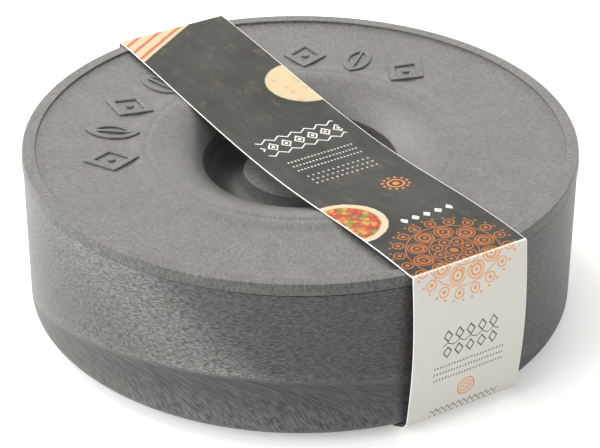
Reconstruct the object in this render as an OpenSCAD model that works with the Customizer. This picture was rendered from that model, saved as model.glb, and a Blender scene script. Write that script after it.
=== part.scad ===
// Tortilla warmer: a moulded round bowl, its lid with a sunk grip, and the card sleeve that wraps both.
// Millimetres, +Z up. The origin is the middle of the face that it stands on, and the sleeve runs along Y.

/* [Bowl] */
// Outer diameter of the bowl at its rim
bowl_d = 215.2; // [180:0.2:260]
// Height of the bowl from its foot to its rim
bowl_h = 64.4; // [50:0.1:110]
// Thickness of the bowl's wall
wall_t = 3; // [2:0.1:4]
// Thickness of the bowl's floor
floor_t = 3; // [2:0.1:5]
// How far the wall leans in from rim to foot, on the radius
wall_lean = 0; // [0:0.1:3]
// Width of the rounded lower corner, on the radius
corner_w = 18; // [8:0.5:24]
// Height of the rounded lower corner
corner_h = 7.5; // [4:0.5:14]
// Radius of the corner inside, between floor and wall
inner_corner_r = 12; // [6:0.5:20]
// Width of the ring that the bowl stands on
foot_ring_w = 10; // [6:0.5:20]
// Depth of the recess inside the foot ring
foot_recess = 0.8; // [0.2:0.1:1.2]

/* [Lid] */
// How far the lid's edge stands out past the bowl's wall
lid_overhang = 0.4; // [0.2:0.1:3]
// Height of the lid's visible edge
lid_edge_h = 4.5; // [4:0.1:12]
// How far that edge leans in from its foot to its top
lid_edge_lean = 0.4; // [0:0.1:1.5]
// Thickness of the lid's plate
lid_t = 2.6; // [1.6:0.1:3.2]
// Width of the raised rim, with the lean of its outer side
rim_w = 5.4; // [3:0.1:8]
// Height of the rim above the plate beside it
rim_h = 1.3; // [1:0.1:3]
// Rounding of the rim's outer edge
rim_round = 0.4; // [0.3:0.1:2.5]
// Rounding of the rim's inner edge
rim_inner_round = 0.4; // [0.2:0.1:1]
// How far the plate sinks from the rim to the ridge round the well
dish_depth = 1.5; // [0:0.1:3]
// Thickness of the ring that locates the lid inside the bowl
plug_t = 2.2; // [1.5:0.1:3.5]
// How far that ring reaches into the bowl
plug_depth = 6; // [3:0.5:12]

/* [Grip well] */
// Radius of the well's lip
lip_r = 38.2; // [32:0.1:48]
// Radius of the soft ridge where the plate starts to fall towards the well
ridge_r = 59; // [52:0.5:66]
// Height of that ridge above the plate outside it
ridge_h = 0.4; // [0:0.1:1]
// Width of the ridge's outer side
ridge_w = 9; // [4:0.5:14]
// Fall from the ridge to the lip
slope_drop = 7.9; // [4:0.1:12]
// Height of the well's steep wall
well_wall_h = 5.3; // [3:0.1:8]
// How far that wall leans in from top to bottom
well_wall_lean = 2.1; // [1:0.1:4]
// Depth of the finger groove below the foot of the well's wall
groove_depth = 5.5; // [3:0.1:8]
// Width of the groove's outer side
groove_w = 8.1; // [6:0.1:10]
// Radius of the knob's top
knob_r = 22.2; // [16:0.1:23]
// Height of the knob's top above the foot of the well's wall
knob_rise = 1.1; // [0:0.1:4]
// Rounding of the knob's edge
knob_round = 0.8; // [0.3:0.1:1.5]

/* [Raised ornament] */
// Motifs round the lid
motif_n = 9; // [3:1:20]
// Angle from one motif to the next
motif_step = 17.25; // [15.5:0.25:18]
// Angle of the first motif
motif_start = 22; // [0:1:90]
// Radius of the circle that the motifs are centred on
motif_circle_r = 74; // [72:0.5:80]
// Length of a motif along the radius
motif_len = 22; // [10:0.5:24]
// Width of a motif
motif_w = 18; // [8:0.5:19]
// Width of a lozenge's raised band
motif_band = 4.2; // [2:0.1:5]
// Radius of the dot in the middle of a lozenge
motif_dot_r = 1.6; // [0.8:0.1:2]
// Width of a leaf, and of its raised band and vein
leaf_w = 11.2; // [8:0.1:16]
leaf_band = 2.1; // [1:0.1:3]
vein_w = 1.3; // [0.6:0.1:2]
// Height of the relief
motif_h = 0.6; // [0.3:0.1:1.2]

/* [Card sleeve] */
// Width of the sleeve
card_w = 49.4; // [30:0.2:90]
// Thickness of the card
card_t = 0.4; // [0.3:0.05:0.8]
// How far the sleeve sits off the middle
card_shift = 2.8; // [-10:0.1:10]
// How far the end panels stand off the lid's edge at the top crease
crease_out = 0.5; // [0.5:0.1:4]
// How far the end panels bow out between the folds
card_bow = 2.3; // [0:0.1:8]
// How far the card follows the bowl's lower corner, in degrees of that corner
card_wrap = 47; // [20:1:55]
// Radius of the soft fold from there up into the end panel
fold_r = 6; // [3:0.5:6.5]

/* [Clearances] */
// Gap between the bowl's rim and the lid's seat
seat_gap = 0.2; // [0.1:0.05:0.5]
// Gap round the ring that locates the lid
plug_gap = 0.35; // [0.2:0.05:0.8]
// Gap between the card and the moulded parts
card_gap = 0.2; // [0.1:0.05:0.5]
// Gap between the sleeve's band and its bottom panel, just above the lower fold
split_gap = 0.1; // [0.05:0.05:0.3]

/* [Hidden] */
$fn = 96;
// Joining bodies reach this far into each other, and cutters this far past a face
bite = 0.5;
// Steps along each curved stretch
curve_n = 10;

bowl_r = bowl_d / 2;
bowl_z = card_t + card_gap;
bowl_top_z = bowl_z + bowl_h;
wall_foot_r = bowl_r - wall_lean;
foot_r = wall_foot_r - corner_w;
bowl_inner_r = bowl_r - wall_t;
inner_foot_r = wall_foot_r - wall_t;
floor_z = bowl_z + floor_t;

lid_r = bowl_r + lid_overhang;
seat_z = bowl_top_z + seat_gap;
lid_top_z = seat_z + lid_edge_h;
rim_inner_r = lid_r - rim_w;
plate_z = lid_top_z - rim_h;
plug_r = bowl_inner_r - plug_gap;
plug_z = seat_z - plug_depth;

ridge_foot_r = ridge_r + ridge_w;
ridge_foot_z = plate_z - dish_depth;
ridge_z = ridge_foot_z + ridge_h;
lip_z = ridge_z - slope_drop;
well_foot_r = lip_r - well_wall_lean;
well_foot_z = lip_z - well_wall_h;
groove_r = well_foot_r - groove_w;
groove_z = well_foot_z - groove_depth;
knob_z = well_foot_z + knob_rise;

card_top_y = lid_r + crease_out;
card_top_z = lid_top_z + card_gap;
wrap_y = foot_r + corner_w * sin(card_wrap);
wrap_z = card_t + corner_h * (1 - cos(card_wrap));
wrap_slope = corner_h / corner_w * tan(card_wrap);
// The bottom panel and the end panel would meet here without the soft fold between them
fold_corner = [bowl_r, wrap_z + wrap_slope * (bowl_r - wrap_y)];

// Unit normal to the left of the way from a to b
function left_normal(a, b) = let (d = b - a) [-d.y, d.x] / norm(d);

// A path moved sideways by a distance, with mitred corners; left of its direction is positive
function moved_path(path, distance) =
    let (last = len(path) - 1)
    [for (i = [0:last])
        let (before = left_normal(path[max(i - 1, 0)], path[max(i, 1)]),
             after = left_normal(path[min(i, last - 1)], path[min(i + 1, last)]))
        path[i] + distance * (before + after) / (1 + before * after)];

// Points of an arc of an ellipse
function arc_points(centre, size, from, to) =
    [for (i = [0:curve_n])
        let (a = from + (to - from) * i / curve_n)
        centre + [size.x * cos(a), size.y * sin(a)]];

// Points of a fold of radius r that rounds the corner between a and b
function fold_points(a, corner, b, r) =
    let (to_a = (a - corner) / norm(a - corner),
         to_b = (b - corner) / norm(b - corner),
         half = acos(to_a * to_b) / 2,
         centre = corner + (to_a + to_b) / norm(to_a + to_b) * r / sin(half),
         from = corner + to_a * r / tan(half) - centre,
         to = corner + to_b * r / tan(half) - centre)
    arc_points(centre, [r, r], atan2(from.y, from.x), atan2(to.y, to.x));

function reversed(path) = [for (i = [len(path) - 1:-1:0]) path[i]];

// The plate's top from the axis outwards, through knob, groove, well wall and ridge to the rim's foot
function knob_side() = arc_points([groove_r, knob_z - knob_round],
                                  [groove_r - knob_r, knob_z - knob_round - groove_z], 180, 270);
function groove_side() = [for (i = [1:curve_n - 1])
    let (s = i / curve_n)
    [groove_r + groove_w * s, groove_z + groove_depth * (1 - cos(90 * s))]];
function slope_side() = [for (i = [0:curve_n])
    let (s = i / curve_n)
    [lip_r + (ridge_r - lip_r) * s, lip_z + slope_drop * (1 - pow(1 - s, 2))]];
function plate_path() = concat(knob_side(), groove_side(), [[well_foot_r, well_foot_z]], slope_side(),
                               [[ridge_foot_r, ridge_foot_z], [rim_inner_r, plate_z]]);

module bowl() {
    outer_corner = arc_points([foot_r, bowl_z + corner_h], [corner_w, corner_h], -90, 0);
    inner_corner = arc_points([inner_foot_r - inner_corner_r, floor_z + inner_corner_r],
                              [inner_corner_r, inner_corner_r], -90, 0);
    color("dimgray") difference() {
        rotate_extrude()
            polygon(concat([[0, bowl_z]], outer_corner, [[bowl_r, bowl_top_z], [bowl_inner_r, bowl_top_z]],
                           reversed(inner_corner), [[0, floor_z]]));
        translate([0, 0, bowl_z - bite])
            cylinder(r = foot_r - foot_ring_w, h = bite + foot_recess);
    }
}

module lid_shell() {
    top = plate_path();
    knob_under_z = knob_z - lid_t;
    // The plate keeps its thickness under the groove and slope, and turns square under the knob's edge
    moved = moved_path(top, -lid_t);
    under = concat([[0, knob_under_z], [knob_r - lid_t, knob_under_z]],
                   [for (p = moved)
                       if ((p.y < knob_under_z || p.x > groove_r) && p.x < plug_r - plug_t) p]);
    knob_edge = arc_points([knob_r - knob_round, knob_z - knob_round], [knob_round, knob_round], 90, 0);
    rim_inner_edge = arc_points([rim_inner_r + rim_inner_round, lid_top_z - rim_inner_round],
                                [rim_inner_round, rim_inner_round], 180, 90);
    rim_outer_edge = arc_points([lid_r - lid_edge_lean - rim_round, lid_top_z - rim_round],
                                [rim_round, rim_round], 90, 0);
    rotate_extrude()
        polygon(concat([[0, knob_z]], knob_edge, [for (i = [1:len(top) - 1]) top[i]],
                       rim_inner_edge, rim_outer_edge,
                       [[lid_r, seat_z], [plug_r, seat_z], [plug_r, plug_z],
                        [plug_r - plug_t, plug_z], [plug_r - plug_t, plate_z - lid_t]],
                       reversed(under)));
}

module lozenge(length, width) {
    polygon([[length / 2, 0], [0, width / 2], [-length / 2, 0], [0, -width / 2]]);
}

// Pointed leaf where two equal circles cross
module leaf(length, width) {
    r = (length * length + width * width) / (4 * width);
    intersection() {
        translate([0, r - width / 2]) circle(r = r);
        translate([0, width / 2 - r]) circle(r = r);
    }
}

module lozenge_motif() {
    difference() {
        lozenge(motif_len, motif_w);
        lozenge(motif_len - motif_band * 2, motif_w - motif_band * 2 * motif_w / motif_len);
    }
    circle(r = motif_dot_r, $fn = 24);
}

module leaf_motif() {
    // The inner outline has the outer one's proportions, so the band is longer at the tips
    tip_band = leaf_band * motif_len / leaf_w;
    difference() {
        leaf(motif_len, leaf_w);
        leaf(motif_len - 2 * tip_band, leaf_w - 2 * leaf_band);
    }
    translate([-motif_len / 2 + tip_band / 2, -vein_w / 2])
        square([motif_len - tip_band, vein_w]);
}

module ornament() {
    // The relief lies along the plate and starts inside it
    plate_fall = dish_depth / (rim_inner_r - ridge_foot_r);
    motif_z = ridge_foot_z + plate_fall * (motif_circle_r - ridge_foot_r);
    for (i = [0:motif_n - 1])
        rotate([0, 0, motif_start + i * motif_step])
            translate([motif_circle_r, 0, motif_z])
                rotate([0, -atan(plate_fall), 0])
                    translate([0, 0, -bite * 2])
                        linear_extrude(motif_h + bite * 2)
                            if (i % 2 == 0) lozenge_motif();
                            else leaf_motif();
}

module lid() {
    color("gray") union() {
        lid_shell();
        ornament();
    }
}

// Extrudes a card path in the YZ plane along X; the path is the face towards the bowl
module card_strip(path) {
    outline = concat(path, reversed(moved_path(path, card_t)));
    translate([card_shift - card_w / 2, 0, 0])
        rotate([90, 0, 90])
            linear_extrude(card_w)
                polygon(outline);
}

// Rear end panel: a point at a share of the way from the lower fold's corner to the top crease
function end_panel_point(share) = fold_corner
    + share * ([card_top_y, card_top_z] - fold_corner) + [card_bow * sin(180 * share), 0];

// Rear lower fold, from the bottom panel up
function lower_fold() = fold_points([wrap_y, wrap_z], fold_corner, end_panel_point(1 / curve_n), fold_r);

// Rear end panel, from just above its lower fold to its top crease
function end_panel() =
    let (low = lower_fold()[curve_n], next = end_panel_point(1 / curve_n))
    concat([low + split_gap * (next - low) / norm(next - low)],
           [for (i = [1:curve_n]) end_panel_point(i / curve_n)]);

// Rear half of the bottom panel, from under the foot to the end of the lower fold
function bottom_half() = concat(
    [for (i = [0:curve_n])
        let (a = card_wrap * i / curve_n)
        [foot_r + corner_w * sin(a), card_t + corner_h * (1 - cos(a))]],
    lower_fold());

function mirrored(path) = [for (p = path) [-p.x, p.y]];

module sleeve_band() {
    color("darkslategray") card_strip(concat(mirrored(end_panel()), reversed(end_panel())));
}

module sleeve_bottom() {
    color("lightgray") card_strip(concat(reversed(bottom_half()), mirrored(bottom_half())));
}

bowl();
lid();
sleeve_band();
sleeve_bottom();
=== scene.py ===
# Tortilla warmer: a moulded bowl and lid held in a printed card sleeve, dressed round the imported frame.
# Blender works in metres; sizes here are millimetres, turned to metres where a mesh or a lamp is made.
from math import acos, cos, degrees, e, hypot, pi, radians, sin, tan

import bpy
from mathutils import Matrix, Vector


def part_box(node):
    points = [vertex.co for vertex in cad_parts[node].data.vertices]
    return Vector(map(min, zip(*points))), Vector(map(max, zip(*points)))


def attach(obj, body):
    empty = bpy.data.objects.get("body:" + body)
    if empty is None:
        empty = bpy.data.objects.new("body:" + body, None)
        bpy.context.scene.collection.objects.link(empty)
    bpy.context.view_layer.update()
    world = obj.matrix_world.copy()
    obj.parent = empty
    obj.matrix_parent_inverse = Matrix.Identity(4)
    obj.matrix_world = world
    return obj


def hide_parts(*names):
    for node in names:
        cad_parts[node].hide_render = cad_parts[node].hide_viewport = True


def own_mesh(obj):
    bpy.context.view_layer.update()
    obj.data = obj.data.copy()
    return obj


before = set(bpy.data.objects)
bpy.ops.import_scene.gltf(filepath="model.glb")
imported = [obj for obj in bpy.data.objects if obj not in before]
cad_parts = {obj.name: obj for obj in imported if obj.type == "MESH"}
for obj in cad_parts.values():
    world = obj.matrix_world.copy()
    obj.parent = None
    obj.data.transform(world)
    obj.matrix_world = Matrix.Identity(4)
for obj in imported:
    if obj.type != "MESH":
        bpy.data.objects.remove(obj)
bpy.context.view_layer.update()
MM = 0.001


# ---- Camera -------------------------------------------------------------------------------------
# The photograph's view: a long lens that looks down past the sleeve's front end from its left side.
# Bearings here are degrees round from the front, -Y, positive towards +X.
view_bearing = -32.15
view_height = 31.1
view_roll = 0.27
view_distance = 854.5
view_aim_z = 29.5
focal_length = 128.7

camera_data = bpy.data.cameras.new("camera")
camera_data.lens = focal_length
camera_data.sensor_width = 36
camera = bpy.data.objects.new("camera", camera_data)
bpy.context.collection.objects.link(camera)
turn = (Matrix.Rotation(radians(view_bearing), 4, "Z") @ Matrix.Rotation(radians(90 - view_height), 4, "X")
        @ Matrix.Rotation(radians(view_roll), 4, "Z"))
aim = Vector((0, 0, view_aim_z * MM))
camera.matrix_world = Matrix.Translation(aim) @ turn @ Matrix.Translation((0, 0, view_distance * MM))
bpy.context.scene.camera = camera
bpy.context.scene.view_settings.view_transform = "Standard"


# ---- Floor --------------------------------------------------------------------------------------
# A plain white sheet. A part of its white is seen by the camera alone, so the sheet reads as white
# paper while it still holds the object's shadow.
sheet_white = "#f4f4f2"
sheet_reach = 6000
sheet_glow, mirror_glow = 0.34, 0.24


def linear(hex_colour, alpha=1.0):
    """An sRGB hex colour as the linear numbers that Blender's sockets take."""
    parts = [int(hex_colour[i:i + 2], 16) / 255 for i in (1, 3, 5)]
    return [p / 12.92 if p <= 0.04045 else ((p + 0.055) / 1.055) ** 2.4 for p in parts] + [alpha]


def add(tree, kind, inputs=None, **settings):
    """Adds a node, sets its options, and feeds its inputs from numbers, colours, sockets or nodes."""
    node = tree.nodes.new(kind)
    for name, value in settings.items():
        setattr(node, name, value)
    for key, value in (inputs or {}).items():
        if isinstance(value, bpy.types.Node):
            value = value.outputs[0]
        if isinstance(value, bpy.types.NodeSocket):
            tree.links.new(value, node.inputs[key])
        else:
            node.inputs[key].default_value = value
    return node


def new_material(name):
    """An empty material, its node tree, and its output node."""
    material = bpy.data.materials.new(name)
    material.use_nodes = True
    material.node_tree.nodes.clear()
    output = add(material.node_tree, "ShaderNodeOutputMaterial")
    return material, material.node_tree, output


def mesh_object(name, points, faces, material):
    """A mesh object at the origin from points in millimetres."""
    mesh = bpy.data.meshes.new(name)
    mesh.from_pydata([[c * MM for c in p] for p in points], [], faces)
    mesh.materials.append(material)
    mesh.validate()
    made = bpy.data.objects.new(name, mesh)
    bpy.context.collection.objects.link(made)
    return made


def looked_at(tree):
    """Two masks: what the camera sees straight, and what it sees mirrored or through a clear piece."""
    rays = add(tree, "ShaderNodeLightPath").outputs
    mirrored = add(tree, "ShaderNodeMath", {0: rays["Is Glossy Ray"], 1: rays["Is Transmission Ray"]},
                   operation="MAXIMUM")
    return rays["Is Camera Ray"], mirrored


sheet_material, tree, output = new_material("white paper sheet")
seen, mirrored = looked_at(tree)
mirrored = add(tree, "ShaderNodeMath", {0: mirrored, 1: mirror_glow}, operation="MULTIPLY")
glow_strength = add(tree, "ShaderNodeMath", {0: seen, 1: sheet_glow, 2: mirrored}, operation="MULTIPLY_ADD")
paper = add(tree, "ShaderNodeBsdfDiffuse", {"Color": linear(sheet_white)})
glow = add(tree, "ShaderNodeEmission", {"Color": linear("#ffffff"), "Strength": glow_strength})
both = add(tree, "ShaderNodeAddShader", {0: paper, 1: glow})
tree.links.new(both.outputs[0], output.inputs["Surface"])

corners = [(x * sheet_reach, y * sheet_reach, 0) for x, y in ((-1, -1), (1, -1), (1, 1), (-1, 1))]
floor = mesh_object("paper_sheet", corners, [(0, 1, 2, 3)], sheet_material)


# ---- Lamps --------------------------------------------------------------------------------------
# Studio softboxes: wide warm ones behind, whose sheen lies on the lid, one at the front left, weak ones
# at the left, overhead and at the right, and an even white light all round.
even_light = 0.37
warm_white = "#fff8f0"


def softbox(side, bearing, height, distance, size, watts, tint="#ffffff"):
    """A rectangular lamp aimed at the object. Its bearing is in degrees round from the camera, its height
    in degrees above the floor."""
    name = side + " softbox"
    lamp_data = bpy.data.lights.new(name, "AREA")
    lamp_data.shape = "RECTANGLE"
    lamp_data.size, lamp_data.size_y = size[0] * MM, size[1] * MM
    lamp_data.energy = watts
    lamp_data.color = linear(tint)[:3]
    lamp = bpy.data.objects.new(name, lamp_data)
    bpy.context.collection.objects.link(lamp)
    around = Matrix.Rotation(radians(view_bearing + bearing), 4, "Z")
    upward = Matrix.Rotation(radians(90 - height), 4, "X")
    lamp.matrix_world = Matrix.Translation(aim) @ around @ upward @ Matrix.Translation((0, 0, distance * MM))


softbox("back", bearing=-165, height=32, distance=1500, size=(1700, 1000), watts=9.2, tint=warm_white)
softbox("back left", bearing=-130, height=40, distance=1400, size=(1000, 1000), watts=14.6, tint=warm_white)
softbox("back right", bearing=150, height=25, distance=1500, size=(900, 900), watts=3.4, tint=warm_white)
softbox("left", bearing=-95, height=14, distance=1200, size=(800, 700), watts=1.3)
softbox("low left", bearing=-62, height=5, distance=600, size=(450, 300), watts=1.7)
softbox("front left", bearing=-45, height=35, distance=1300, size=(700, 700), watts=7.1)
softbox("overhead", bearing=-110, height=76, distance=1300, size=(900, 900), watts=5.2)
softbox("right", bearing=95, height=18, distance=1200, size=(500, 500), watts=1.6)
softbox("front right", bearing=42, height=30, distance=1400, size=(1000, 1000), watts=0.8)

world = bpy.data.worlds.new("studio")
bpy.context.scene.world = world
world.use_nodes = True
tree = world.node_tree
tree.nodes.clear()
seen, mirrored = looked_at(tree)
shown = add(tree, "ShaderNodeMath", {0: seen, 1: mirrored}, operation="MAXIMUM")
strength = add(tree, "ShaderNodeMapRange", {"Value": shown, "To Min": even_light, "To Max": 1.0})
sky = add(tree, "ShaderNodeBackground", {"Color": linear("#ffffff"), "Strength": strength})
add(tree, "ShaderNodeOutputWorld", {"Surface": sky})


# ---- Bowl ---------------------------------------------------------------------------------------
# A round bowl moulded in one piece in grey polypropylene. It stands on a low ring at the edge of its
# foot, its wall is nearly upright, and its lower corner is wide and low.
(bowl_lo, bowl_hi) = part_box("bowl")
bowl_r = bowl_hi.x / MM
bowl_foot_z = bowl_lo.z / MM
bowl_top_z = bowl_hi.z / MM
wall_t = 3.0
corner_w, corner_h = 18.0, 7.5
foot_ring_w, foot_recess = 10.0, 0.8
inner_corner_r = 12.0
mouth_round = 0.6
plastic_roughness = 0.42
streak_relief = 0.06
turns = 256


def arc(centre, size, start, end, steps=12):
    """Points of an elliptical arc; size holds its two half axes."""
    angles = [radians(start + (end - start) * i / steps) for i in range(steps + 1)]
    return [(centre[0] + size[0] * cos(a), centre[1] + size[1] * sin(a)) for a in angles]


def rounded(corners, steps=6, flat=0.12):
    """A path through corners given as (r, z) or (r, z, radius). A corner with a radius becomes an arc,
    with a short flat on each side that keeps the faces beside it from shading round."""
    path = []
    for i, corner in enumerate(corners):
        if len(corner) < 3:
            path.append(tuple(corner))
            continue
        here, radius = Vector(corner[:2]), corner[2]
        back = (Vector(corners[i - 1][:2]) - here).normalized()
        ahead = (Vector(corners[i + 1][:2]) - here).normalized()
        half = back.angle(ahead) / 2
        reach = radius * cos(half) / sin(half)
        middle = here + (back + ahead).normalized() * radius / sin(half)
        first, last = here + back * reach - middle, here + ahead * reach - middle
        sweep = first.angle_signed(last)
        bend = [tuple(middle + Matrix.Rotation(-sweep * k / steps, 2) @ first) for k in range(steps + 1)]
        flats = [tuple(middle + first + back * flat), tuple(middle + last + ahead * flat)] if flat else []
        path += flats[:1] + bend + flats[1:]
    return path


def lathe(name, profile, material):
    """Turns a closed outline of (r, z) points round Z; points on the axis become one pole each."""
    points, rings = [], []
    for r, z in profile:
        if r < 1e-6:
            rings.append([len(points)] * turns)
            points.append((0, 0, z))
        else:
            rings.append(list(range(len(points), len(points) + turns)))
            points += [(r * cos(2 * pi * k / turns), r * sin(2 * pi * k / turns), z) for k in range(turns)]
    faces = []
    for low, high in zip(rings, rings[1:]):
        for k in range(turns):
            corners = [low[k], low[(k + 1) % turns], high[(k + 1) % turns], high[k]]
            corners = list(dict.fromkeys(corners))
            if len(corners) > 2:
                faces.append(corners)
    made = mesh_object(name, points, faces, material)
    made.data.shade_smooth()
    return made


def streaked_plastic(name, dark, light, streak_shape):
    """Moulded polypropylene, unpainted: one grey through and through, with pale and dark flow streaks
    that its filler leaves in the skin, and a half-matt shine. The streak shape gives the streaks'
    contrast, the tone that they lie on, and the roughness; that tone also carries painted sheen on the
    bowl's wall and painted light and shade in the lid's well."""
    material, tree, output = new_material(name)
    place = add(tree, "ShaderNodeTexCoord").outputs["Object"]
    mm = add(tree, "ShaderNodeVectorMath", {0: place, "Scale": 1 / MM}, operation="SCALE")
    streaks, tone, roughness = streak_shape(tree, mm)
    grey = add(tree, "ShaderNodeMix", {"Factor": streaks, 6: linear(dark), 7: linear(light)},
               data_type="RGBA")
    toned = add(tree, "ShaderNodeMix", {"Factor": 1.0, 6: grey.outputs[2], 7: tone}, data_type="RGBA",
                blend_type="MULTIPLY")
    bump = add(tree, "ShaderNodeBump", {"Strength": 0.25, "Distance": streak_relief * MM, "Height": streaks})
    skin = add(tree, "ShaderNodeBsdfPrincipled", {
        "Base Color": toned.outputs[2], "Roughness": roughness, "IOR": 1.49, "Normal": bump})
    tree.links.new(skin.outputs[0], output.inputs["Surface"])
    return material


def ramp(tree, value, low, high, stops):
    """A grey tone that runs through the stops, each given as (value, tone)."""
    share = add(tree, "ShaderNodeMapRange", {"Value": value, "From Min": low, "From Max": high})
    tone = add(tree, "ShaderNodeValToRGB", {"Fac": share})
    elements = tone.color_ramp.elements
    elements.remove(elements[1])
    for i, (place, grey) in enumerate(stops):
        share = (place - low) / (high - low)
        stop = elements.new(share) if i else elements[0]
        stop.position = share
        stop.color = (grey, grey, grey, 1)
    return tone.outputs["Color"]


def wall_streaks(tree, mm):
    """Level dashes above the flow line, a slanted plane round the wall; below it, fine strands that leave
    the line and bend down. Both are drawn as coarse as they need to be to show. Their tone carries
    painted sheen at the wall's left and along the flow line."""
    flow_middle, flow_tilt, flow_bearing = -1.0, 0.28, -42.0
    dash_size, strand_size = (1.7, 1.7, 0.45), (0.6, 0.6, 2.6)
    strand_lean = -14.0
    down_hill = (sin(radians(flow_bearing)) * flow_tilt, -cos(radians(flow_bearing)) * flow_tilt, 0)
    line = add(tree, "ShaderNodeVectorMath", {0: mm, 1: down_hill}, operation="DOT_PRODUCT").outputs["Value"]
    z = add(tree, "ShaderNodeSeparateXYZ", {0: mm}).outputs["Z"]
    over = add(tree, "ShaderNodeMath", {0: z, 1: line}, operation="SUBTRACT")
    below = add(tree, "ShaderNodeMath", {0: flow_middle, 1: over}, operation="SUBTRACT")
    dashes = add(tree, "ShaderNodeVectorMath", {0: mm, 1: dash_size}, operation="DIVIDE")
    level = add(tree, "ShaderNodeTexNoise", {"Vector": dashes, "Scale": 1.0, "Detail": 3.0, "Roughness": 0.6})
    depth = add(tree, "ShaderNodeMath", {0: below, 1: 0.0}, operation="MAXIMUM")
    stretched = add(tree, "ShaderNodeMath", {0: depth, 1: 0.5, 2: 1.0}, operation="MULTIPLY_ADD")
    bend = add(tree, "ShaderNodeMath", {0: stretched, 1: e}, operation="LOGARITHM")
    angle = add(tree, "ShaderNodeMath", {0: bend, 1: strand_lean / bowl_r}, operation="MULTIPLY")
    turned = add(tree, "ShaderNodeVectorRotate", {"Vector": mm, "Angle": angle}, rotation_type="Z_AXIS")
    strands = add(tree, "ShaderNodeVectorMath", {0: turned, 1: strand_size}, operation="DIVIDE")
    hair = add(tree, "ShaderNodeTexNoise", {"Vector": strands, "Scale": 1.0, "Detail": 3.0, "Roughness": 0.6})
    under = add(tree, "ShaderNodeMapRange", {"Value": below, "From Min": -1.0, "From Max": 1.0})
    both = add(tree, "ShaderNodeMix", {"Factor": under, 2: level, 3: hair}, data_type="FLOAT")
    contrast = add(tree, "ShaderNodeMapRange", {"Value": both, "From Min": 0.39, "From Max": 0.61})
    # the flow mark with painted sheen: pale just above the line, dark just below it, and lighter again lower
    # down
    flow_mark_and_sheen_tone = ramp(tree, below, -12.0, 20.0, (
        (-12.0, 0.96), (-4.0, 1.0), (-0.6, 1.3), (1.4, 0.62), (10.0, 0.70), (20.0, 1.08)))
    # painted sheen: above the line the wall at the left is painted paler, where light falls on it, up to an
    # edge that slants down towards the front
    edge_bearing, edge_rise = radians(view_bearing - 80), 0.9
    across = (sin(edge_bearing), -cos(edge_bearing), -edge_rise)
    round_wall = add(tree, "ShaderNodeVectorMath", {0: mm, 1: across}, operation="DOT_PRODUCT")
    round_wall = round_wall.outputs["Value"]
    pale = ramp(tree, round_wall, -20.0, 80.0, (
        (-20.0, 0.60), (0.0, 0.66), (18.0, 1.38), (34.0, 1.3), (48.0, 0.97), (70.0, 0.83)))
    pale = add(tree, "ShaderNodeMix", {"Factor": under, 2: pale, 3: 0.92}, data_type="FLOAT")
    tone = add(tree, "ShaderNodeMath", {0: flow_mark_and_sheen_tone, 1: pale}, operation="MULTIPLY")
    return contrast, tone, plastic_roughness


bowl_plastic = streaked_plastic("moulded polypropylene, bowl", "#333332", "#6a6a69", wall_streaks)

foot_r = bowl_r - corner_w
floor_z = bowl_foot_z + wall_t
inner_foot_r = bowl_r - wall_t
outside = [(0, bowl_foot_z + foot_recess), (foot_r - foot_ring_w, bowl_foot_z + foot_recess, 0.5),
           (foot_r - foot_ring_w, bowl_foot_z, 0.3)]
outside = rounded(outside + [(foot_r, bowl_foot_z)])
corner = arc((foot_r, bowl_foot_z + corner_h), (corner_w, corner_h), -90, 0, steps=24)
corner.append((bowl_r, corner[-1][1] + 0.3))
mouth = rounded([corner[-1], (bowl_r, bowl_top_z, mouth_round), (bowl_r - wall_t, bowl_top_z, mouth_round),
                 (inner_foot_r, floor_z + inner_corner_r)])
inner_corner_centre = (inner_foot_r - inner_corner_r, floor_z + inner_corner_r)
inner_corner = arc(inner_corner_centre, (inner_corner_r,) * 2, 0, -90, steps=16)
bowl_outline = outside[:-1] + corner + mouth[1:-1] + inner_corner + [(0, floor_z)]
bowl = lathe("bowl_moulding", bowl_outline, bowl_plastic)
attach(bowl, "bowl")
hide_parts("bowl")


# ---- Lid ----------------------------------------------------------------------------------------
# One grey moulding that lifts off: a raised rim, a plate that dishes towards a soft ridge, a slope
# down to a sunk well, and the round knob standing in the well. A ring below keeps it in the bowl.
lid_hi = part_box("lid")[1]
lid_r = lid_hi.x / MM
lid_top_z = lid_hi.z / MM
lid_edge_h, lid_edge_lean = 4.5, 0.4
seat_z = lid_top_z - lid_edge_h
lid_t = 2.6
rim_w, rim_h, rim_round, rim_inner_round = 5.4, 1.3, 0.4, 0.4
dish_depth = 1.5
ridge_r, ridge_w, ridge_h = 59.0, 9.0, 0.4
crease_w, crease_d, crease_reach = 0.9, 0.22, 3.6
lip_r, slope_drop = 38.2, 7.9
well_wall_h, well_wall_lean = 5.3, 2.1
groove_depth, groove_w = 5.5, 8.1
knob_r, knob_rise, knob_round = 22.2, 1.1, 0.8
ring_gap, ring_t, ring_depth = 0.35, 2.2, 6.0
plate_curl_w, plate_curl_h = 5.0, 0.45
seat_round, lip_round, well_round, under_round = 0.45, 0.35, 0.4, 0.5
well_roughness = 0.62

rim_inner_r = lid_r - rim_w
plate_z = lid_top_z - rim_h
ridge_foot_r, ridge_foot_z = ridge_r + ridge_w, plate_z - dish_depth
plate_fall = dish_depth / (rim_inner_r - ridge_foot_r)
ridge_z = ridge_foot_z + ridge_h
lip_z = ridge_z - slope_drop
well_foot = (lip_r - well_wall_lean, lip_z - well_wall_h)
groove = (well_foot[0] - groove_w, well_foot[1] - groove_depth)
knob_z = well_foot[1] + knob_rise
ring_r = bowl_r - wall_t - ring_gap


def moved(path, distance, closed=False):
    """The path moved to the right of its direction, with mitred corners."""
    shifted = []
    for i in range(len(path)):
        before, here, after = (Vector(path[k]) for k in (i - 1, i, (i + 1) % len(path)))
        if i == 0 and not closed:
            before = here * 2 - after
        if i == len(path) - 1 and not closed:
            after = here * 2 - before
        normals = [Vector((d.y, -d.x)).normalized() for d in (here - before, after - here)]
        shifted.append(tuple(here + distance * (normals[0] + normals[1]) / (1 + normals[0].dot(normals[1]))))
    return shifted


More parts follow.
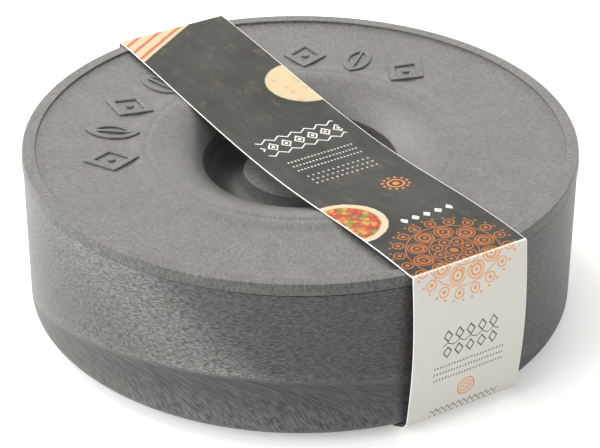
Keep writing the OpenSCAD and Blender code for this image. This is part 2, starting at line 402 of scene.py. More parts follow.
def plate_streaks(tree, mm):
    """Fine grain that runs out from the middle and down the edge, wide, faintly warm flow streaks, and
    painted light on the knob and painted shade in the groove round it.
    """
    edge_grain = 1.4
    flat = add(tree, "ShaderNodeVectorMath", {0: mm, 1: (1, 1, 0)}, operation="MULTIPLY")
    r = add(tree, "ShaderNodeVectorMath", {0: flat}, operation="LENGTH").outputs["Value"]
    out = add(tree, "ShaderNodeVectorMath", {0: flat}, operation="NORMALIZE")
    z = add(tree, "ShaderNodeSeparateXYZ", {0: mm}).outputs["Z"]
    values = []
    for across, along, detail in ((150.0, 1.8, 3.0), (9.0, 60.0, 2.0)):
        r_part = add(tree, "ShaderNodeMath", {0: r, 1: along}, operation="DIVIDE")
        r_part = add(tree, "ShaderNodeMath", {0: z, 1: 1 / edge_grain, 2: r_part}, operation="MULTIPLY_ADD")
        lift = add(tree, "ShaderNodeCombineXYZ", {"Z": r_part})
        wide = add(tree, "ShaderNodeVectorMath", {0: out, 1: (across,) * 3, 2: lift},
                   operation="MULTIPLY_ADD")
        values.append(add(tree, "ShaderNodeTexNoise", {
            "Vector": wide, "Scale": 1.0, "Detail": detail, "Roughness": 0.55}))
    grain, flow = values
    contrast = add(tree, "ShaderNodeMapRange", {"Value": grain, "From Min": 0.35, "From Max": 0.65})
    cloud = add(tree, "ShaderNodeMapRange", {"Value": flow, "From Min": 0.35, "From Max": 0.65})
    tone = add(tree, "ShaderNodeMix", {"Factor": cloud, 6: linear("#e6e8e8"), 7: linear("#fffdfa")},
               data_type="RGBA")
    # painted light and shade: the knob is painted paler than the plate and the groove round it darker, as
    # light and shade fall in the well; both are also coarser
    plate_tone = 0.45
    middle = ramp(tree, r, 16.0, 38.0, (
        (16.0, 1.0), (20.5, 1.0), (23.0, 0.33), (34.0, 0.28), (37.5, plate_tone)))
    roughness = add(tree, "ShaderNodeMapRange", {
        "Value": r, "From Min": 36.0, "From Max": 39.0,
        "To Min": well_roughness, "To Max": plastic_roughness})
    tone = add(tree, "ShaderNodeMix", {"Factor": 1.0, 6: tone.outputs[2], 7: middle}, data_type="RGBA",
               blend_type="MULTIPLY")
    tone = add(tree, "ShaderNodeVectorMath", {0: tone.outputs[2], "Scale": 1 / plate_tone},
               operation="SCALE")
    return contrast, tone, roughness


lid_plastic = streaked_plastic("moulded polypropylene, lid", "#414140", "#666564", plate_streaks)

slope = []
for i in range(25):
    s = i / 24
    slope.append((lip_r + (ridge_r - lip_r) * s, lip_z + slope_drop * (1 - (1 - s) ** 2)))
groove_side = []
for i in range(1, 16):
    s = i / 16
    groove_side.append((groove[0] + groove_w * s, groove[1] + groove_depth * (1 - cos(s * pi / 2))))
knob_low_z = knob_z - knob_round
knob_side = arc((groove[0], knob_low_z), (groove[0] - knob_r, knob_low_z - groove[1]), 180, 270, steps=14)
knob_edge = arc((knob_r - knob_round, knob_low_z), (knob_round,) * 2, 90, 0, steps=6)
well_side = rounded([groove_side[-1], well_foot + (well_round,), (lip_r, lip_z, lip_round), slope[1]])
# the crease is a fine line just outside the ridge
crease = [(ridge_r - 0.3, ridge_z), (ridge_r + crease_w / 2, ridge_z - crease_d),
          (ridge_r + crease_w + 0.8, ridge_z + 0.02), (ridge_r + crease_w + 2.5, ridge_z + 0.05)]
ridge_side = []
for i in range(1, 9):
    s = i / 8
    ridge_side.append((ridge_r + crease_reach + (ridge_w - crease_reach) * s,
                       ridge_foot_z + ridge_h * (1 + cos(s * pi)) / 2))
plate_side = []
for i in range(9):
    s = i / 8
    plate_side.append((rim_inner_r - plate_curl_w * (1 - s), plate_z - plate_fall * plate_curl_w * (1 - s)
                       + plate_curl_h * s ** 2))
top = knob_side + groove_side + well_side[1:-1] + slope[1:-1] + crease + ridge_side + plate_side
rim = rounded([top[-2], top[-1] + (0.15,), (rim_inner_r, lid_top_z, rim_inner_round),
               (lid_r - lid_edge_lean, lid_top_z, rim_round), (lid_r, seat_z, seat_round),
               (ring_r, seat_z, 0.3), (ring_r, seat_z - ring_depth, under_round),
               (ring_r - ring_t, seat_z - ring_depth, under_round),
               (ring_r - ring_t, plate_z - lid_t, 0.6), (rim_inner_r - 8, plate_z - lid_t - 0.1)], steps=8)
under_knob_z = knob_z - lid_t
below = [(r, z) for r, z in moved(top, lid_t)
         if (z < under_knob_z or r > groove[0]) and r < ring_r - ring_t - 1]
under = [(0, under_knob_z), (knob_r - lid_t, under_knob_z)] + below
outline = [(0, knob_z)] + knob_edge + top[1:-1] + rim[1:-1] + under[::-1]
lid = lathe("lid_moulding", outline, lid_plastic)
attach(lid, "lid")
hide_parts("lid")


# ---- Raised ornament ----------------------------------------------------------------------------
# Lozenges and leaves that stand up from the lid's plate, moulded with it in a row round the ridge.
# Each is drawn once, and Geometry Nodes sets the copies round the lid in turn.
motif_n, motif_first, motif_step = 9, 22.0, 17.25
motif_circle_r = 74.0
motif_len, motif_w, motif_band = 22.0, 18.0, 4.2
leaf_w, leaf_band, vein_w = 11.2, 2.1, 1.3
dot_r = 1.6
relief_h, relief_root, relief_edge = 0.6, 1.0, 0.2


def lozenge(length, width, tip=0.6):
    """The outline of a lozenge with softened corners, counterclockwise."""
    ends = [(length / 2, 0), (0, width / 2), (-length / 2, 0), (0, -width / 2)]
    return rounded([ends[-1]] + [end + (tip,) for end in ends] + [ends[0]], steps=4, flat=0)[1:-1]


def leaf(length, width):
    """The outline of a pointed leaf, two equal arcs, counterclockwise."""
    radius = (length ** 2 + width ** 2) / (4 * width)
    tip = degrees(acos(length / 2 / radius))
    upper = arc((0, width / 2 - radius), (radius, radius), tip, 180 - tip, steps=14)[:-1]
    return upper + [(-x, -y) for x, y in upper]


def relief(outline, hole=None):
    """A raised shape with a softened upper edge. Outline and hole run counterclockwise, point for point."""
    edge, round_share = relief_edge, 0.3
    levels = [(0, -relief_root), (0, relief_h - edge),
              (-round_share * edge, relief_h - round_share * edge), (-edge, relief_h)]
    loops = [(outline, shift, z) for shift, z in levels]
    if hole:
        loops += [(hole, -shift, z) for shift, z in reversed(levels)]
    n, points, faces = len(outline), [], []
    for path, shift, z in loops:
        points += [p + (z,) for p in moved(path, shift, closed=True)]
    for j in range(len(loops) if hole else len(loops) - 1):
        k = (j + 1) % len(loops)
        faces += [(j * n + i, j * n + (i + 1) % n, k * n + (i + 1) % n, k * n + i) for i in range(n)]
    if not hole:
        faces += [tuple(range(len(points) - n, len(points))), tuple(reversed(range(n)))]
    return points, faces


def motif(name, parts):
    """One motif as a mesh object, from its raised shapes."""
    points, faces = [], []
    for part_points, part_faces in parts:
        faces += [tuple(i + len(points) for i in face) for face in part_faces]
        points += part_points
    return mesh_object(name, points, faces, lid_plastic)


def grown(name, tree, values):
    """The plain mesh object that a Geometry Nodes tree makes from its named inputs."""
    seed = bpy.data.objects.new(name, bpy.data.meshes.new(name + " seed"))
    bpy.context.collection.objects.link(seed)
    modifier = seed.modifiers.new("grow", "NODES")
    modifier.node_group = tree
    for item in tree.interface.items_tree:
        if item.name in values:
            modifier[item.identifier] = values[item.name]
    seed.data.materials.append(lid_plastic)
    view = bpy.context.evaluated_depsgraph_get()
    mesh = bpy.data.meshes.new_from_object(seed.evaluated_get(view))
    seed.modifiers.remove(modifier)
    seed.data = mesh
    return seed


tree = bpy.data.node_groups.new("row of motifs", "GeometryNodeTree")
for socket, kind in (
        ("Even motif", "Object"), ("Odd motif", "Object"), ("Count", "Int"), ("First angle", "Float"),
        ("Step", "Float"), ("Circle radius", "Float"), ("Plate height", "Float"), ("Fall", "Float"),
        ("Ridge foot", "Float"), ("Ridge top", "Float"), ("Ridge height", "Float"), ("Plastic", "Material")):
    tree.interface.new_socket(socket, in_out="INPUT", socket_type="NodeSocket" + kind)
tree.interface.new_socket("Geometry", in_out="OUTPUT", socket_type="NodeSocketGeometry")
given = add(tree, "NodeGroupInput").outputs
index = add(tree, "GeometryNodeInputIndex")
angle = add(tree, "ShaderNodeMath", {0: index, 1: given["Step"], 2: given["First angle"]},
            operation="MULTIPLY_ADD")
along = add(tree, "ShaderNodeCombineXYZ", {"X": given["Circle radius"], "Z": given["Plate height"]})
place = add(tree, "ShaderNodeVectorRotate", {"Vector": along, "Angle": angle}, rotation_type="Z_AXIS")
spots = add(tree, "GeometryNodePoints", {"Count": given["Count"], "Position": place})
tilt = add(tree, "ShaderNodeMath", {0: given["Fall"], 1: -1.0}, operation="MULTIPLY")
facing = add(tree, "ShaderNodeCombineXYZ", {"Y": tilt, "Z": angle})
odd = add(tree, "ShaderNodeMath", {0: index, 1: 2.0}, operation="MODULO")
even = add(tree, "ShaderNodeMath", {0: 1.0, 1: odd}, operation="SUBTRACT")
rows = add(tree, "GeometryNodeJoinGeometry")
for chosen, drawn in ((even, "Even motif"), (odd, "Odd motif")):
    source = add(tree, "GeometryNodeObjectInfo", {"Object": given[drawn]})
    row = add(tree, "GeometryNodeInstanceOnPoints", {
        "Points": spots, "Selection": chosen, "Instance": source.outputs["Geometry"], "Rotation": facing})
    tree.links.new(row.outputs[0], rows.inputs[0])
solid = add(tree, "GeometryNodeRealizeInstances", {0: rows})
flat = add(tree, "ShaderNodeVectorMath", {0: add(tree, "GeometryNodeInputPosition"), 1: (1, 1, 0)},
           operation="MULTIPLY")
radius = add(tree, "ShaderNodeVectorMath", {0: flat}, operation="LENGTH").outputs["Value"]
swell = add(tree, "ShaderNodeMapRange", {"Value": radius, "From Min": given["Ridge foot"],
                                         "From Max": given["Ridge top"], "To Max": given["Ridge height"]},
            interpolation_type="SMOOTHSTEP")
inside = add(tree, "ShaderNodeMath", {0: given["Ridge foot"], 1: radius}, operation="SUBTRACT")
inside = add(tree, "ShaderNodeMath", {0: inside, 1: 0.0}, operation="MAXIMUM")
rise = add(tree, "ShaderNodeMath", {0: inside, 1: given["Fall"], 2: swell}, operation="MULTIPLY_ADD")
lift = add(tree, "ShaderNodeCombineXYZ", {"Z": rise})
lifted = add(tree, "GeometryNodeSetPosition", {"Geometry": solid, "Offset": lift})
coated = add(tree, "GeometryNodeSetMaterial", {"Geometry": lifted, "Material": given["Plastic"]})
add(tree, "NodeGroupOutput", {0: coated})

band_share = motif_w / motif_len
inner_lozenge = lozenge(motif_len - 2 * motif_band, (motif_len - 2 * motif_band) * band_share)
dot = arc((0, 0), (dot_r, dot_r), 0, 360, steps=24)[:-1]
lozenge_motif = motif("lozenge", [relief(lozenge(motif_len, motif_w), inner_lozenge), relief(dot)])
leaf_share = 1 - 2 * leaf_band / leaf_w
vein_half = motif_len * (1 + leaf_share) / 4
vein = [(x * vein_half, y * vein_w / 2) for x, y in ((-1, -1), (1, -1), (1, 1), (-1, 1))]
inner_leaf = leaf(motif_len * leaf_share, leaf_w * leaf_share)
leaf_motif = motif("leaf", [relief(leaf(motif_len, leaf_w), inner_leaf), relief(vein)])
ornament = grown("raised_ornament", tree, {
    "Even motif": lozenge_motif, "Odd motif": leaf_motif, "Count": motif_n,
    "First angle": radians(motif_first), "Step": radians(motif_step), "Circle radius": motif_circle_r * MM,
    "Plate height": (ridge_foot_z + plate_fall * (motif_circle_r - ridge_foot_r)) * MM, "Fall": plate_fall,
    "Ridge foot": ridge_foot_r * MM, "Ridge top": (ridge_r + crease_reach) * MM,
    "Ridge height": ridge_h * MM, "Plastic": lid_plastic})
ornament.data.set_sharp_from_angle(angle=radians(50))
for drawn in (lozenge_motif, leaf_motif):
    bpy.data.objects.remove(drawn)
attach(ornament, "lid")


# ---- Card sleeve --------------------------------------------------------------------------------
# A loop of white-backed boxboard, printed on its outside, cut, creased at four lines and slipped over
# the warmer. The print runs on over the creases, so each piece carries its place along the loop, in
# millimetres from the rear crease, as its UV map.
(card_lo, card_hi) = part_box("sleeve_band")
card_x0, card_x1 = card_lo.x / MM, card_hi.x / MM
card_middle = (card_x1 - card_x0) / 2
card_top_z = card_hi.z / MM
card_t = 0.4
card_sag = 4.8
sag_middle_y, sag_front_y = -8.0, -100.0
card_bow = 2.3
crease_out = 0.5
crease_r, fold_r = 0.35, 6.0
bottom_wrap = 47
white_ink, dark_ink, shadow_ink, bare_board = "#e2e1da", "#3f403c", "#1a1c17", "#fbfaf6"


def paper_board(name, colour, roughness):
    """Uncoated side of the board: matt, pale grey-white, with faint fibre clouds."""
    material, tree, output = new_material(name)
    place = add(tree, "ShaderNodeTexCoord").outputs["Object"]
    fibres = add(tree, "ShaderNodeTexNoise", {"Vector": place, "Scale": 0.25 / MM, "Detail": 3.0})
    shade = add(tree, "ShaderNodeMapRange", {"Value": fibres, "From Min": 0.3, "From Max": 0.7,
                                             "To Min": 0.94})
    tint = add(tree, "ShaderNodeMix", {"Factor": 1.0, 6: linear(colour), 7: shade}, data_type="RGBA",
               blend_type="MULTIPLY")
    face = add(tree, "ShaderNodeBsdfPrincipled", {
        "Base Color": tint.outputs[2], "Roughness": roughness, "Specular IOR Level": 0.3})
    tree.links.new(face.outputs[0], output.inputs["Surface"])
    return material


plain_board = paper_board("folding boxboard, unprinted back", "#d9d6cf", 0.75)
cut_board = paper_board("folding boxboard, cut edge", bare_board, 0.8)


def within(tree, distance, size, soft=0.12):
    """A mask that is 1 where the distance is less than the size."""
    return add(tree, "ShaderNodeMapRange", {
        "Value": distance, "From Min": size + soft, "From Max": size - soft})


def off(tree, value, middle):
    """How far a value lies from a middle one, either way."""
    apart = add(tree, "ShaderNodeMath", {0: value, 1: middle}, operation="SUBTRACT")
    return add(tree, "ShaderNodeMath", {0: apart}, operation="ABSOLUTE")


def joined(tree, masks, operation="MAXIMUM"):
    """Several masks as one."""
    whole = masks[0]
    for mask in masks[1:]:
        whole = add(tree, "ShaderNodeMath", {0: whole, 1: mask}, operation=operation)
    return whole


def disc(tree, flat, centre, radius, soft=0.12):
    """A round spot."""
    apart = add(tree, "ShaderNodeVectorMath", {0: flat, 1: centre + (0,)}, operation="DISTANCE")
    return within(tree, apart.outputs["Value"], radius, soft)


def ring(tree, flat, centre, radius, line, soft=0.1):
    """A round line."""
    apart = add(tree, "ShaderNodeVectorMath", {0: flat, 1: centre + (0,)}, operation="DISTANCE")
    return within(tree, off(tree, apart.outputs["Value"], radius), line / 2, soft)


def diamonds(tree, uv, middle, pitch, width, height, line=None):
    """A row of diamonds across the card, solid, or in outline with a line width."""
    u, v = uv
    across = add(tree, "ShaderNodeMath", {0: u, 1: pitch / 2}, operation="PINGPONG")
    along = add(tree, "ShaderNodeMath", {0: off(tree, v, middle), 1: width / height}, operation="MULTIPLY")
    reach = add(tree, "ShaderNodeMath", {0: across, 1: along}, operation="ADD")
    if line:
        return within(tree, off(tree, reach, width / 2), line / 2)
    return within(tree, reach, width / 2)


def zigzag(tree, uv, middle, pitch, height, line):
    """A zigzag line across the card."""
    u, v = uv
    across = add(tree, "ShaderNodeMath", {0: u, 1: pitch / 2}, operation="PINGPONG")
    wave = add(tree, "ShaderNodeMath", {0: across, 1: 2 * height / pitch, 2: middle - height / 2},
               operation="MULTIPLY_ADD")
    apart = add(tree, "ShaderNodeMath", {0: v, 1: wave}, operation="SUBTRACT")
    return within(tree, add(tree, "ShaderNodeMath", {0: apart}, operation="ABSOLUTE"), line / 2)


def span(tree, value, low, high, soft=0.1):
    """A band from a low to a high value."""
    return within(tree, off(tree, value, (low + high) / 2), (high - low) / 2, soft)


def spokes(tree, flat, centre, count, radius, turn=0.0):
    """The distance from the nearest of a ring of points round a centre."""
    out = add(tree, "ShaderNodeVectorMath", {0: flat, 1: centre + (0,)}, operation="SUBTRACT")
    parts = add(tree, "ShaderNodeSeparateXYZ", {0: out}).outputs
    angle = add(tree, "ShaderNodeMath", {0: parts["Y"], 1: parts["X"]}, operation="ARCTAN2")
    turned = add(tree, "ShaderNodeMath", {0: angle, 1: turn * 2 * pi / count}, operation="ADD")
    bent = add(tree, "ShaderNodeMath", {0: turned, 1: pi / count}, operation="PINGPONG")
    r = add(tree, "ShaderNodeVectorMath", {0: out}, operation="LENGTH").outputs["Value"]
    x = add(tree, "ShaderNodeMath", {0: bent}, operation="COSINE")
    y = add(tree, "ShaderNodeMath", {0: bent}, operation="SINE")
    there = add(tree, "ShaderNodeCombineXYZ", {"X": x, "Y": y})
    there = add(tree, "ShaderNodeVectorMath", {0: there, "Scale": r}, operation="SCALE")
    apart = add(tree, "ShaderNodeVectorMath", {0: there, 1: (radius, 0, 0)}, operation="DISTANCE")
    return apart.outputs["Value"]


def wheel(tree, flat, centre, count, radius, size, line=None, turn=0.0):
    """A ring of round spots, solid or in outline, round a centre."""
    apart = spokes(tree, flat, centre, count, radius, turn)
    return within(tree, off(tree, apart, size), line / 2) if line else within(tree, apart, size)


def rosette(tree, flat, centre):
    """A round ornament of rings, petals and beads."""
    return joined(tree, [
        disc(tree, flat, centre, 1.5), ring(tree, flat, centre, 3.0, 0.5),
        wheel(tree, flat, centre, 8, 6.0, 2.0, 0.5), wheel(tree, flat, centre, 8, 6.0, 0.8),
        ring(tree, flat, centre, 9.0, 0.45),
        wheel(tree, flat, centre, 10, 13.1, 3.4, 0.5), wheel(tree, flat, centre, 10, 13.1, 2.1, 0.9),
        wheel(tree, flat, centre, 10, 13.1, 0.7), wheel(tree, flat, centre, 20, 10.5, 0.55, turn=0.5),
        ring(tree, flat, centre, 17.2, 0.45),
        wheel(tree, flat, centre, 18, 20.0, 2.0, 0.5), wheel(tree, flat, centre, 18, 20.0, 0.8),
        wheel(tree, flat, centre, 36, 22.9, 0.5, turn=0.5)])


def planks(tree, flat, uv):
    """The upper side's ground: stained planks with long grain, dark clouds, worn patches and joints."""
    u, v = uv
    plank_w, first_joint, joint_slant = 15.0, 3.0, 0.045
    along = add(tree, "ShaderNodeVectorMath", {0: flat, 1: (1 / 1.4, 1 / 26, 1)}, operation="MULTIPLY")
    grain = add(tree, "ShaderNodeTexNoise", {"Vector": along, "Scale": 1.0, "Detail": 4.0, "Roughness": 0.6})
    grain = add(tree, "ShaderNodeMapRange", {"Value": grain, "From Min": 0.3, "From Max": 0.7})
    cloud = add(tree, "ShaderNodeTexNoise", {"Vector": flat, "Scale": 0.045, "Detail": 2.0})
    cloud = add(tree, "ShaderNodeMapRange", {"Value": cloud, "From Min": 0.35, "From Max": 0.65})
    patches = add(tree, "ShaderNodeVectorMath", {0: flat, 1: (1 / 5.5, 1 / 11, 1)}, operation="MULTIPLY")
    worn = add(tree, "ShaderNodeTexNoise", {"Vector": patches, "Scale": 1.0, "Detail": 3.0, "Roughness": 0.6})
    worn = add(tree, "ShaderNodeMapRange", {"Value": worn, "From Min": 0.56, "From Max": 0.78,
                                            "To Max": 0.75})
    slant = add(tree, "ShaderNodeMath", {0: v, 1: joint_slant, 2: u}, operation="MULTIPLY_ADD")
    slant = add(tree, "ShaderNodeMath", {0: slant, 1: first_joint}, operation="SUBTRACT")
    joint = add(tree, "ShaderNodeMath", {0: slant, 1: plank_w / 2}, operation="PINGPONG")
    joint = add(tree, "ShaderNodeMath", {0: within(tree, joint, 0.16, 0.2), 1: 0.7}, operation="MULTIPLY")
    return [(grain, "#272923", "wood"), (cloud, "#1d1f19", "cloud"), (worn, "#5a4e3c", "worn"),
            (joint, "#1b1c18", "joint")]


def food(tree, flat, uv):
    """A flatbread on the right, a dish of diced vegetables on the left, and a striped cloth at the back, each
    with a soft shadow."""
    u, v = uv
    bread_at, dish_at, food_r = (50.0, 66.0), (1.0, 172.0), 16.0
    bread = disc(tree, flat, bread_at, food_r, 0.3)
    bread_shadow = disc(tree, flat, (bread_at[0] - 1.0, bread_at[1] + 2.5), food_r + 1.4, 1.6)
    toast = add(tree, "ShaderNodeTexVoronoi", {"Vector": flat, "Scale": 0.22})
    toast = within(tree, toast.outputs["Distance"], 0.26, 0.16)
    toast = add(tree, "ShaderNodeMath", {0: toast, 1: bread}, operation="MULTIPLY")
    toast = add(tree, "ShaderNodeMath", {0: toast, 1: 0.55}, operation="MULTIPLY")

    dish, filling = disc(tree, flat, dish_at, food_r), disc(tree, flat, dish_at, food_r - 2.8, 0.3)
    dish_shadow = disc(tree, flat, (dish_at[0] + 1.2, dish_at[1] + 2.6), food_r + 1.4, 1.6)
    dice = add(tree, "ShaderNodeTexVoronoi", {"Vector": flat, "Scale": 0.42})
    dice_tone = add(tree, "ShaderNodeSeparateColor", {0: dice.outputs["Color"]}).outputs[0]
    green = add(tree, "ShaderNodeMath", {0: dice_tone, 1: 0.72}, operation="GREATER_THAN")
    gold = add(tree, "ShaderNodeMath", {0: dice_tone, 1: 0.38}, operation="LESS_THAN")
    gaps = add(tree, "ShaderNodeMapRange", {
        "Value": dice.outputs["Distance"], "From Min": 0.3, "From Max": 0.62, "To Min": 0.0, "To Max": 0.6})
    gaps = add(tree, "ShaderNodeMath", {0: gaps, 1: filling}, operation="MULTIPLY")

    cloth_reach, stripe_pitch = 21.0, 6.0
    cloth_line = add(tree, "ShaderNodeMath", {0: u, 1: 0.62, 2: v}, operation="MULTIPLY_ADD")
    cloth = within(tree, cloth_line, cloth_reach, 0.15)
    stripes = add(tree, "ShaderNodeMath", {0: cloth_line, 1: stripe_pitch / 2}, operation="PINGPONG")
    stripes = joined(tree, [within(tree, stripes, 0.9, 0.15), cloth], "MINIMUM")
    weave = add(tree, "ShaderNodeTexNoise", {"Vector": flat, "Scale": 1.1, "Detail": 2.0})
    weave = add(tree, "ShaderNodeMapRange", {"Value": weave, "From Min": 0.3, "From Max": 0.7,
                                             "To Max": 0.35})
    weave = add(tree, "ShaderNodeMath", {0: weave, 1: cloth}, operation="MULTIPLY")
    return [
        (bread_shadow, shadow_ink, "bread shadow"), (bread, "#c6b692", "bread"), (toast, "#b98d55", "toast"),
        (dish_shadow, shadow_ink, "dish shadow"), (dish, "#c6b99b", "dish"), (filling, "#b5452a", "filling"),
        (joined(tree, [green, filling], "MINIMUM"), "#7c8a3c", "green dice"),
        (joined(tree, [gold, filling], "MINIMUM"), "#d98b3f", "gold dice"), (gaps, "#6e2a1c", "dice gaps"),
        (within(tree, cloth_line, cloth_reach + 1.2, 1.4), shadow_ink, "cloth shadow"),
        (cloth, "#c4b799", "cloth"), (stripes, "#b8552f", "stripes"), (weave, "#a8966f", "weave")]


def upper_bands(tree, flat, uv):
    """Bands of plain ornament on the upper side: zigzags with diamonds, small rows, and a little sun."""
    u = uv[0]
    title = joined(tree, [
        zigzag(tree, uv, 99.0, 6.0, 2.4, 0.7), diamonds(tree, uv, 104.2, 6.0, 4.2, 5.4, 0.75),
        diamonds(tree, uv, 104.2, 6.0, 1.6, 2.2), zigzag(tree, uv, 109.6, 6.0, 2.4, 0.7)])
    title = joined(tree, [title, span(tree, u, 7.0, 43.0)], "MINIMUM")
    small = joined(tree, [diamonds(tree, uv, middle, 1.5, 0.95, 1.3) for middle in (118.0, 121.6, 125.2)]
                   + [diamonds(tree, uv, middle, 2.25, 0.95, 1.2) for middle in (131.0, 134.2, 137.4)])
    small = joined(tree, [small, span(tree, u, 10.0, 40.0)], "MINIMUM")
    row = joined(tree, [diamonds(tree, uv, 182.5, 5.0, 3.2, 4.0), span(tree, u, 19.0, 41.0)], "MINIMUM")
    sun_at = (35.0, 155.0)
    sun = joined(tree, [ring(tree, flat, sun_at, 3.1, 0.7), disc(tree, flat, sun_at, 1.3),
                        wheel(tree, flat, sun_at, 12, 5.0, 0.55)])
    return [(title, white_ink, "title band"), (small, "#c8c8be", "small rows"), (row, white_ink, "row"),
            (sun, "#d9853f", "sun")]


def end_bands(tree, flat, uv, crease):
    """Bands of plain ornament on the pale ends, and a round badge on the front one."""
    u = uv[0]
    large, fine = (5.0, 3.4, 4.6, 0.6), (1.25, 0.75, 1.1)
    front = crease + 27.0
    rows = joined(tree, [
        diamonds(tree, uv, front + 2.2, *large), diamonds(tree, uv, front + 9.0, *large),
        zigzag(tree, uv, front + 5.6, 5.0, 1.3, 0.4)])
    rows = joined(tree, [rows, span(tree, u, 12.5, 37.5)], "MINIMUM")
    small = joined(tree, [diamonds(tree, uv, front + down, *fine) for down in (15.0, 17.8, 20.6)])
    small = joined(tree, [small, span(tree, u, 9.4, 40.6)], "MINIMUM")
    foot = joined(tree, [zigzag(tree, uv, front + 35.4, 2.5, 1.9, 0.55),
                         diamonds(tree, uv, front + 37.6, 2.5, 1.0, 1.2)])
    foot = joined(tree, [foot, span(tree, u, 10.0, 40.0)], "MINIMUM")
    badge_at = (25.0, front + 28.0)
    badge = joined(tree, [ring(tree, flat, badge_at, 3.6, 0.55), ring(tree, flat, badge_at, 2.5, 0.4),
                          wheel(tree, flat, badge_at, 6, 1.2, 0.45)])
    rear = joined(tree, [diamonds(tree, uv, middle, *large) for middle in (-20.0, -26.8)]
                  + [diamonds(tree, uv, middle, *fine) for middle in (-34.0, -36.8, -39.6)])
    rear = joined(tree, [rear, span(tree, u, 12.5, 37.5)], "MINIMUM")
    return [(rows, dark_ink, "front rows"), (small, "#55564f", "front small rows"),
            (foot, dark_ink, "foot border"), (rear, dark_ink, "rear rows"), (badge, "#e39a5c", "badge")]


def printed_card(crease):
    """Boxboard, coated and offset printed: flat inks under a thin satin varnish. The upper side shows
    stained planks with food on them, the ends are pale; both carry bands of plain geometric ornament."""
    material, tree, output = new_material("folding boxboard, offset printed and varnished")
    given = add(tree, "ShaderNodeUVMap", uv_map="print")
    # the drawn lines wander a little, as if cut by hand
    wobble = add(tree, "ShaderNodeTexNoise", {"Vector": given, "Scale": 0.35, "Detail": 1.0})
    wobble = add(tree, "ShaderNodeVectorMath", {
        0: wobble.outputs["Color"], 1: (0.6, 0.6, 0), 2: (-0.3, -0.3, 0)}, operation="MULTIPLY_ADD")
    flat = add(tree, "ShaderNodeVectorMath", {0: given, 1: wobble})
    uv = add(tree, "ShaderNodeSeparateXYZ", {0: flat}).outputs[:2]
    true_u, true_v = add(tree, "ShaderNodeSeparateXYZ", {0: given}).outputs[:2]
    from_middle = off(tree, true_v, crease / 2)
    upper = within(tree, from_middle, crease / 2 - 0.3, 0.05)
    ends = add(tree, "ShaderNodeMath", {0: 1.0, 1: upper}, operation="SUBTRACT")

    layers = (planks(tree, flat, uv) + food(tree, flat, uv) + upper_bands(tree, flat, uv)
              + [(ends, "#e3e0d9", "pale ends")] + end_bands(tree, flat, uv, crease))
    ink = linear("#373a32")
    for mask, colour, label in layers:
        ink = add(tree, "ShaderNodeMix", {"Factor": mask, 6: ink, 7: linear(colour)}, data_type="RGBA",
                  label=label).outputs[2]
    orange = add(tree, "ShaderNodeMix", {"Factor": ends, 6: linear("#ac622b"), 7: linear("#eea768")},
                 data_type="RGBA").outputs[2]
    flower = rosette(tree, flat, (23.0, crease - 7.0))
    ink = add(tree, "ShaderNodeMix", {"Factor": flower, 6: ink, 7: orange}, data_type="RGBA").outputs[2]

    # the cut edges and the folds show the white of the board
    rims = add(tree, "ShaderNodeMath", {0: off(tree, true_u, card_middle), 1: card_middle - 0.22},
               operation="GREATER_THAN")
    rub = add(tree, "ShaderNodeTexNoise", {"Vector": given, "Scale": 0.9, "Detail": 3.0})
    rub = add(tree, "ShaderNodeMapRange", {"Value": rub, "From Min": 0.35, "From Max": 0.65, "To Max": 0.7})
    fold_line = within(tree, off(tree, from_middle, crease / 2 + 0.25), 0.22, 0.2)
    fold_line = add(tree, "ShaderNodeMath", {0: fold_line, 1: rub}, operation="MULTIPLY")
    for mask in (rims, fold_line):
        ink = add(tree, "ShaderNodeMix", {"Factor": mask, 6: ink, 7: linear(bare_board)},
                  data_type="RGBA").outputs[2]

    skin = add(tree, "ShaderNodeTexNoise", {"Vector": given, "Scale": 2.2, "Detail": 2.0})
    bump = add(tree, "ShaderNodeBump", {"Strength": 0.12, "Distance": 0.04 * MM, "Height": skin})
    shine = add(tree, "ShaderNodeMapRange", {"Value": skin, "To Min": 0.56, "To Max": 0.66})
    face = add(tree, "ShaderNodeBsdfPrincipled", {
        "Base Color": ink, "Roughness": shine, "Normal": bump, "Specular IOR Level": 0.27})
    tree.links.new(face.outputs[0], output.inputs["Surface"])
    return material


def path_length(path):
    """The length along a path."""
    return sum(hypot(b[0] - a[0], b[1] - a[1]) for a, b in zip(path, path[1:]))


def card_strip(name, path, start):
    """A strip of card across the sleeve. The path is its face towards the bowl, from rear to front, as
    (y, z). Its start is its place along the loop."""
    printed_side, plain_side, cut_side = 0, 1, 2
    printed = moved(path, card_t)
    across = [card_x0 + (card_x1 - card_x0) * k / 12 for k in range(13)]
    n, m = len(path), len(across)
    points = [(x, y, z) for side in (printed, path) for y, z in side for x in across]
    faces, kinds = [], []
    for i in range(n - 1):
        for k in range(m - 1):
            a, b = i * m + k, (i + 1) * m + k
            faces += [(a, b, b + 1, a + 1), (n * m + a, n * m + a + 1, n * m + b + 1, n * m + b)]
            kinds += [printed_side, plain_side]
    for i in range(n - 1):
        a, b = i * m, (i + 1) * m
        faces += [(a, n * m + a, n * m + b, b),
                  (a + m - 1, b + m - 1, n * m + b + m - 1, n * m + a + m - 1)]
        kinds += [cut_side, cut_side]
    for row in (0, (n - 1) * m):
        for k in range(m - 1):
            a = row + k
            ends = (a, a + 1, n * m + a + 1, n * m + a)
            faces.append(ends if row == 0 else ends[::-1])
            kinds.append(cut_side)
    made = mesh_object(name, points, faces, printed_board)
    for board in (plain_board, cut_board):
        made.data.materials.append(board)
    made.data.polygons.foreach_set("material_index", kinds)
    lengths = [start]
    for a, b in zip(printed, printed[1:]):
        lengths.append(lengths[-1] + hypot(b[0] - a[0], b[1] - a[1]))
    flat = made.data.uv_layers.new(name="print")
    for loop in made.data.loops:
        v = loop.vertex_index % (n * m)
        flat.uv[loop.index].vector = (across[v % m] - card_x0, lengths[v // m])
    made.data.shade_smooth()
    made.data.set_sharp_from_angle(angle=radians(50))
    return made


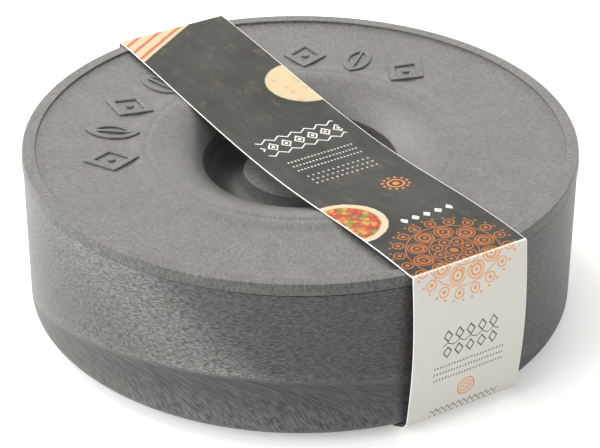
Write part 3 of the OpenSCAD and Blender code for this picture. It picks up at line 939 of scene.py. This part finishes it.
# the bottom panel follows the bowl's lower corner, then leaves it along a tangent to a soft fold
wrap = []
for i in range(25):
    a = radians(bottom_wrap * i / 24)
    wrap.append((foot_r + corner_w * sin(a), card_t + corner_h * (1 - cos(a))))
upper_crease = Vector((lid_r + crease_out, card_top_z - card_t))
tangent = corner_h / corner_w * tan(radians(bottom_wrap))
fold_corner = Vector((bowl_r, wrap[-1][1] + tangent * (bowl_r - wrap[-1][0])))
end_side = []
for i in range(4, 37):
    s = i / 36
    end_side.append(tuple(fold_corner.lerp(upper_crease, s) + Vector((card_bow * sin(pi * s), 0))))
fold = rounded([wrap[-1], tuple(fold_corner) + (fold_r,), end_side[0]], steps=16, flat=0)[1:-1]
top_bend = rounded([end_side[-2], end_side[-1] + (crease_r,), (upper_crease.x - 3, upper_crease.y)])[1:-1]
rear_path = fold[-1:] + end_side[:-1] + top_bend
front_path = [(-y, z) for y, z in reversed(rear_path)]
# the top panel hangs between the rims, lowest near the middle, steeper behind it than before it
top_path = []
for i in range(73):
    y = rear_path[-1][0] * (1 - i / 36)
    sag_end = rim_inner_r if y > sag_middle_y else sag_front_y
    share = max(0, (sag_end - y) / (sag_end - sag_middle_y))
    dip = (1 - cos(pi * share)) / 2
    if y > sag_middle_y:
        dip = (dip + sin(pi / 2 * share)) / 2
    top_path.append((y, upper_crease.y - card_sag * dip))
front_wrap = wrap + fold
bottom_path = [(-y, z) for y, z in reversed(front_wrap)] + front_wrap

top_length = path_length(moved(top_path, card_t))
end_length = path_length(moved(rear_path, card_t))
printed_board = printed_card(top_length)
top_panel = card_strip("sleeve_top_panel", top_path, 0)
front_panel = card_strip("sleeve_front_panel", front_path, top_length)
rear_panel = card_strip("sleeve_rear_panel", rear_path, -end_length)
for piece in (rear_panel, top_panel, front_panel):
    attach(piece, "sleeve_band")
    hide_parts("sleeve_band")
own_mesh(top_panel)

bottom_panel = card_strip("sleeve_bottom_panel", bottom_path, top_length + end_length)
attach(bottom_panel, "sleeve_bottom")
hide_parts("sleeve_bottom")
